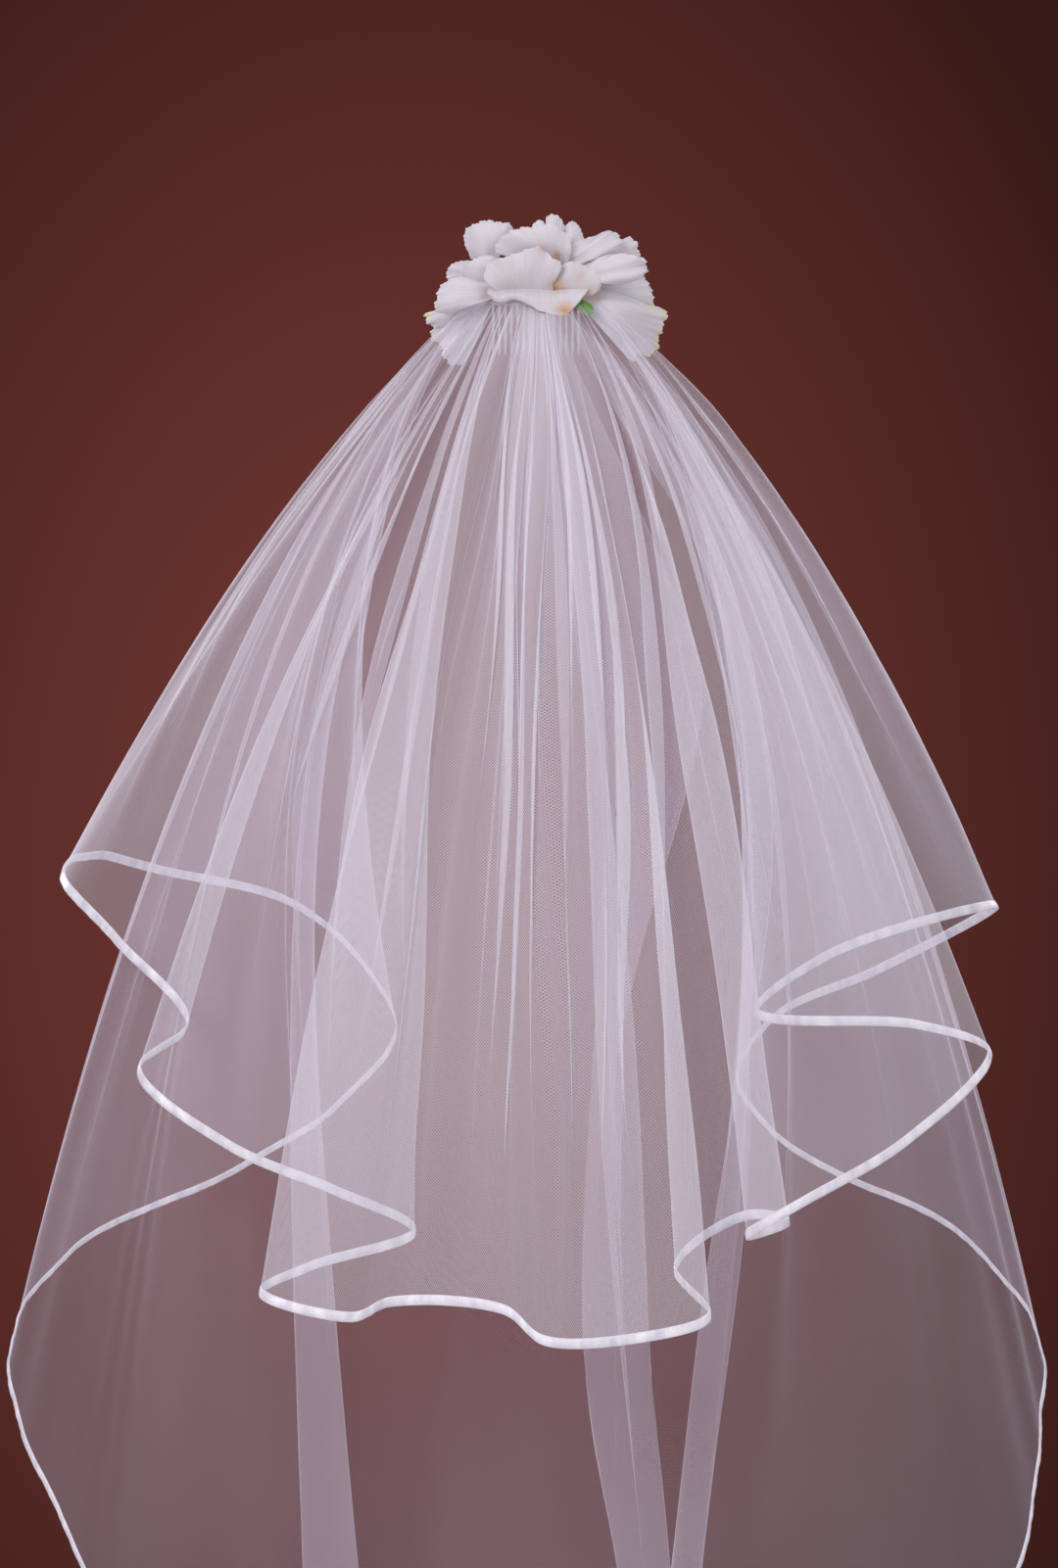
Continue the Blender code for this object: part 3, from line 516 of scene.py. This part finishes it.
# Each petal: root and rim points in pixels of the 1080 x 1601 picture, depth of root and rim in mm (minus is towards
# the back of the veil), bulge towards the back and height of the rim's waves in mm, number of waves. Where given, tuck:
# how far the root goes under its neighbours. cup: how far the petal's sides curl to the front, in mm.
petals = {
    "petal_top_left": dict(
        root=[(503, 262)], depth=(3, 2), bulge=4, ruffle=1.6, waves=3,
        rim=[(481, 264), (474, 246), (476, 234), (484, 229), (497, 225), (509, 227), (521, 229), (525, 240)]),
    "petal_tip_left": dict(
        root=[(560, 250)], depth=(9, 19), bulge=2, ruffle=1.1, waves=4,
        rim=[(542, 236), (546, 227), (553, 225), (557, 230), (558, 222), (563, 219), (570, 221), (575, 228),
             (578, 238)]),
    "petal_tip_right": dict(
        root=[(580, 252)], depth=(11, 27), bulge=2, ruffle=1.1, waves=3,
        rim=[(574, 236), (579, 229), (584, 226), (590, 230), (594, 238), (597, 248)]),
    "petal_upper_centre": dict(
        root=[(556, 268), (570, 267)], depth=(-2, -18), bulge=5, ruffle=1.3, waves=3,
        rim=[(505, 258), (508, 246), (517, 238), (530, 233), (547, 231), (562, 229), (572, 233), (580, 242),
             (583, 254), (581, 266)]),
    "petal_centre": dict(
        root=[(518, 297), (561, 294)], depth=(-11, -28), bulge=4, ruffle=1.6, waves=4,
        rim=[(494, 286), (495, 276), (499, 269), (510, 264), (523, 260), (537, 255), (549, 252), (557, 257),
             (564, 263), (573, 269), (573, 275), (565, 281), (563, 290)]),
    "petal_heart_right": dict(
        root=[(566, 294), (600, 298)], depth=(-11, -19), bulge=3, ruffle=1.2, waves=2,
        rim=[(563, 289), (565, 281), (573, 272), (582, 267), (594, 270), (607, 276), (614, 285), (612, 296)]),
    "petal_ruffle_right": dict(
        root=[(594, 284)], depth=(-8, -15), bulge=5, ruffle=2.4, waves=4,
        rim=[(596, 271), (614, 262), (635, 259), (651, 262), (659, 271), (658, 279), (650, 286), (637, 290),
             (618, 289)]),
    "petal_upper_right": dict(
        root=[(583, 268)], depth=(-3, -4), bulge=5, ruffle=2.0, waves=3,
        rim=[(583, 249), (597, 244), (610, 240), (623, 236), (632, 241), (635, 249), (628, 258), (613, 265),
             (601, 273)]),
    "petal_outer_right": dict(
        root=[(598, 268)], depth=(3, 14), bulge=4, ruffle=2.4, waves=4,
        rim=[(604, 246), (613, 238), (626, 237), (634, 245), (642, 242), (650, 248), (652, 258), (659, 267),
             (660, 278), (652, 286)]),
    "petal_tip_right_low": dict(
        root=[(618, 294)], depth=(12, 52), bulge=3, ruffle=1.6, waves=3,
        rim=[(640, 279), (654, 281), (661, 288), (666, 300), (666, 312), (655, 318), (640, 316)]),
    "petal_lower_right": dict(
        root=[(598, 302), (606, 318)], depth=(4, 38), bulge=10, ruffle=2.2, waves=3,
        rim=[(606, 293), (622, 294), (644, 298), (660, 311), (670, 313), (679, 317), (680, 326), (675, 337),
             (673, 345), (670, 357), (664, 363), (653, 362), (645, 368), (634, 357), (620, 338)]),
    "petal_left_high": dict(
        root=[(488, 279)], depth=(4, 14), bulge=3, ruffle=1.4, waves=3,
        rim=[(482, 266), (469, 267), (460, 271), (456, 279), (458, 286), (470, 288)]),
    "petal_left_mid": dict(
        root=[(500, 285)], depth=(-4, -8), bulge=3, ruffle=1.3, waves=2,
        rim=[(470, 287), (472, 276), (480, 267), (491, 262), (504, 262), (510, 270)]),
    "petal_left_side": dict(
        root=[(500, 297), (503, 302)], depth=(-6, -9), bulge=5, ruffle=1.8, waves=3,
        rim=[(502, 288), (485, 285), (467, 283), (456, 287), (448, 295), (446, 305), (444, 316), (456, 320),
             (476, 310)]),
    "petal_lower_left": dict(
        root=[(500, 304)], depth=(6, 30), bulge=5, ruffle=1.8, waves=3,
        rim=[(474, 301), (459, 311), (445, 317), (434, 321), (437, 330), (448, 335), (464, 330), (482, 320)]),
    "petal_left_bottom": dict(
        root=[(497, 310)], depth=(8, 44), bulge=6, ruffle=2.2, waves=3,
        rim=[(462, 325), (447, 333), (440, 339), (441, 346), (450, 352), (452, 362), (459, 371), (471, 372),
             (482, 356), (492, 334)]),
    "petal_folded": dict(
        root=[(498, 294), (601, 294)], depth=(-14, -21), bulge=3, ruffle=1.0, waves=2, tuck=0.0, cup=3,
        rim=[(497, 299), (508, 309), (525, 306), (537, 310), (550, 317), (564, 321), (577, 321), (587, 313),
             (599, 298)]),
    "calyx": dict(
        root=[(587, 306)], depth=(-14, -15), bulge=1, ruffle=0.3, waves=1, tuck=0.0, cup=1,
        rim=[(586, 312), (593, 318), (601, 322), (606, 319), (603, 311), (594, 306)])}
# tinted spots: pixel place, radius in pixels, colour, strength
amber, leafYellow = np.array((0.66, 0.34, 0.10)), np.array((0.74, 0.70, 0.16))
petalWhite, leafGreen = (0.71, 0.69, 0.71), (0.11, 0.28, 0.035)
spots = [
    (577, 319, 12, amber, 0.85), (569, 261, 5, amber, 0.8), (553, 254, 6, amber, 0.25), (569, 290, 11, amber, 0.55),
    (592, 281, 9, amber, 0.25), (604, 300, 12, amber, 0.3), (520, 292, 10, amber, 0.12), (500, 303, 10, amber, 0.15),
    (435, 322, 5, leafYellow, 0.9), (441, 345, 5, leafYellow, 0.8), (666, 313, 6, leafYellow, 0.6),
    (678, 319, 5, leafYellow, 0.8), (674, 343, 5, leafYellow, 0.9), (671, 354, 6, leafYellow, 0.9),
    (664, 363, 5, leafYellow, 0.8)]
pixel, eye = 0.000757, (-0.0053, -0.3747, 3.0)    # metres a pixel at the comb; the camera's x, z and distance


def fromPicture(places, y):
    grow = pixel * (eye[2] + y) / eye[2]
    x = eye[0] + (places[..., 0] - 540) * grow
    z = eye[1] + (800.5 - places[..., 1]) * grow
    return np.stack(np.broadcast_arrays(x, y, z), axis=-1)


def throughPoints(points, count):   # a smooth line through a few points
    points = np.array(points, dtype=float)
    spans = np.sqrt(np.linalg.norm(np.diff(points, axis=0), axis=1))
    knots = np.concatenate([[0], np.cumsum(spans)])
    slopes = np.gradient(points, knots, axis=0)
    at = np.linspace(0, knots[-1], count)
    k = np.clip(np.searchsorted(knots, at, side="right") - 1, 0, len(spans) - 1)
    h, s = spans[k][:, None], ((at - knots[k]) / spans[k])[:, None]
    line = (1 + 2 * s) * (1 - s) ** 2 * points[k] + s**2 * (3 - 2 * s) * points[k + 1]
    return line + h * s * (1 - s) * ((1 - s) * slopes[k] - s * slopes[k + 1])


petalShape = {
    "across": 84, "along": 36, "tuck": 0.22, "cup": 8, "vein": 0.04, "dent": 0.9, "turned": 1.8, "cloth": 0.0005}


def petalSurface(p, number):
    rim = throughPoints(p["rim"], petalShape["across"])[:, None]
    root = np.linspace(p["root"][0], p["root"][-1], petalShape["across"])[:, None]
    root = root + 0.05 * (rim - root) - p.get("tuck", petalShape["tuck"]) * (rim.mean(axis=0) - root)
    u = np.linspace(-1, 1, petalShape["across"])[:, None]
    v = np.linspace(0, 1, petalShape["along"])[None, :]
    nibble = 0.016 * np.sin(31 * u + 1.3 * number) + 0.011 * np.sin(67 * u + number) + 0.008 * np.sin(113 * u)
    reach = (v + nibble * v**8)[..., None]
    places = root + (rim - root) * reach
    waves = np.sin(math.pi * p["waves"] * u + 1.1 * number)
    waves = waves + 0.3 * np.sin(1.7 * math.pi * p["waves"] * u + 2.1 * number) * v
    belly = np.sin(math.pi * v)
    y = p["depth"][0] + (p["depth"][1] - p["depth"][0]) * v**1.3 - 1.6 * p["bulge"] * belly * (1 - 0.5 * u**2)
    y = y + p.get("cup", petalShape["cup"]) * u**2 * v**1.5 + p["ruffle"] * waves * v**3.2
    y = y + petalShape["vein"] * np.sin(46 * u + number + 1.5 * v) * belly**0.5
    y = y + petalShape["dent"] * np.sin(2.2 * u + 4.1 * v + number) * belly
    turned = np.clip((v - 0.86) / 0.14, 0, 1) ** 2    # the outermost part of the petal
    y = y + petalShape["turned"] * turned * (0.4 + 0.6 * np.sin(3.3 * u + number))
    return places, fromPicture(places, y / 1000), u, v


def addPetal(name, p, number):
    places, points, u, v = petalSurface(p, number)
    green = name == "calyx"
    uvs = np.stack(np.broadcast_arrays(u * 0.5 + 0.1 * number, v), axis=-1)
    obj = gridObject(name + "_silk", points, calyxSilk if green else silk, uvs)
    tone = np.ones((*points.shape[:2], 1)) * (leafGreen if green else petalWhite)
    # painted shade: each petal is darker towards its root, deep in the flower
    tone = tone * (0.93 + 0.07 * v[..., None] ** 0.5)
    for x, z, radius, colour, strength in [] if green else spots:
        away = np.linalg.norm(places - (x, z), axis=-1) / radius
        tone = tone + (colour - tone) * (strength * np.clip(1.25 - away, 0, 1) ** 1.2)[..., None]
    addValues(obj, "tintAndRootShade", np.concatenate([tone, np.ones_like(tone[..., :1])], axis=-1), "FLOAT_COLOR", "color")
    shell = obj.modifiers.new("shell", "SOLIDIFY")
    shell.thickness, shell.offset = petalShape["cloth"], 0.0
    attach(obj, "root")
    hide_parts(name)


for number, (name, p) in enumerate(petals.items()):
    addPetal(name, p, number)
print("petals made:", len(petals))

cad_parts["comb"].data.materials[0] = plasticMaterial()
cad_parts["flower_base"].data.materials[0] = feltMaterial()


# a soft area light, its place and aim, its side in metres, its power in watts
def addArea(name, place, aim, size, energy, colour=(1, 1, 1)):
    light = bpy.data.lights.new(name, "AREA")
    light.energy, light.size, light.color = energy, size, colour
    obj = bpy.data.objects.new(name, light)
    obj.location = place
    offset = obj.location - type(obj.location)(aim)
    obj.rotation_euler = offset.to_track_quat("Z", "Y").to_euler()
    scene.collection.objects.link(obj)


floorHeight, floorSize = -1.72, 5
bpy.ops.mesh.primitive_plane_add(size=floorSize, location=(0, 0, floorHeight))
floor = bpy.context.object
floor.name = "floor"
paleFloor, _, _ = newMaterial("floor_pale", (0.72, 0.70, 0.68), 0.8)
floor.data.materials.append(paleFloor)

warmWhite, coolWhite = (1, 0.96, 1), (0.95, 0.93, 1)
addArea("keyLight", (-1.5, -2.9, 1.0), (0, 0, -0.4), 1.6, 62, warmWhite)
addArea("fillLight", (2.1, -2.4, 0.3), (0, 0, -0.5), 1.8, 24)
addArea("leftRim", (-2.2, 1.6, 0.5), (0, 0, -0.4), 1.2, 30, coolWhite)
addArea("rightRim", (2.2, 1.6, 0.5), (0, 0, -0.4), 1.2, 22, coolWhite)
addArea("topLight", (0, -0.4, 2.3), (0, 0, -0.3), 1.6, 14)

# what the camera sees behind the veil: a painted pool of light, a red-brown glow round a centre, with its half-width
# and half-height as slopes
backdrop = {
    "centre": (-0.03, -0.02), "reach": (0.17, 0.25), "fade": 1.2, "ambient": (0.74, 0.68, 0.80, 1),
    "glow": (0.178, 0.042, 0.036, 1), "dark": (0.040, 0.011, 0.009, 1)}
world = bpy.data.worlds.new("studio")
scene.world = world
world.use_nodes = True
sky = world.node_tree
ambient = sky.nodes["Background"]
ambient.inputs["Color"].default_value = backdrop["ambient"]
ambient.inputs["Strength"].default_value = 0.35
plain = addNode(sky, "ShaderNodeBackground")
plain.inputs["Strength"].default_value = 1.0
ways = addNode(sky, "ShaderNodeSeparateXYZ")
sky.links.new(addNode(sky, "ShaderNodeTexCoord").outputs["Generated"], ways.inputs[0])
across, up = [
    mathNode(sky, "DIVIDE", mathNode(sky, "SUBTRACT", ways.outputs[axis], centre), reach)
    for axis, centre, reach in zip("XZ", backdrop["centre"], backdrop["reach"])]
squares = [mathNode(sky, "MULTIPLY", way, way) for way in (across, up)]
away = mathNode(sky, "SQRT", mathNode(sky, "ADD", *squares))
tone = addNode(sky, "ShaderNodeMix", data_type="RGBA")
feed(sky, tone.inputs["Factor"], mapped(sky, away, 0.0, backdrop["fade"], 0.0, 1.0))
tone.inputs["A"].default_value = backdrop["glow"]
tone.inputs["B"].default_value = backdrop["dark"]
sky.links.new(tone.outputs["Result"], plain.inputs["Color"])
choice = addNode(sky, "ShaderNodeMixShader")
sky.links.new(addNode(sky, "ShaderNodeLightPath").outputs["Is Camera Ray"], choice.inputs[0])
sky.links.new(ambient.outputs[0], choice.inputs[1])
sky.links.new(plain.outputs[0], choice.inputs[2])
sky.links.new(choice.outputs[0], sky.nodes["World Output"].inputs["Surface"])

camera = bpy.data.objects.new("camera", bpy.data.cameras.new("camera"))
camera.location = (-0.0053, -3.0, -0.3747)
camera.rotation_euler = (math.radians(90), 0, 0)
camera.data.lens = 89.1
scene.collection.objects.link(camera)
scene.camera = camera
scene.view_settings.view_transform = "Standard"
scene.cycles.transparent_max_bounces = 56
print("stage ready")
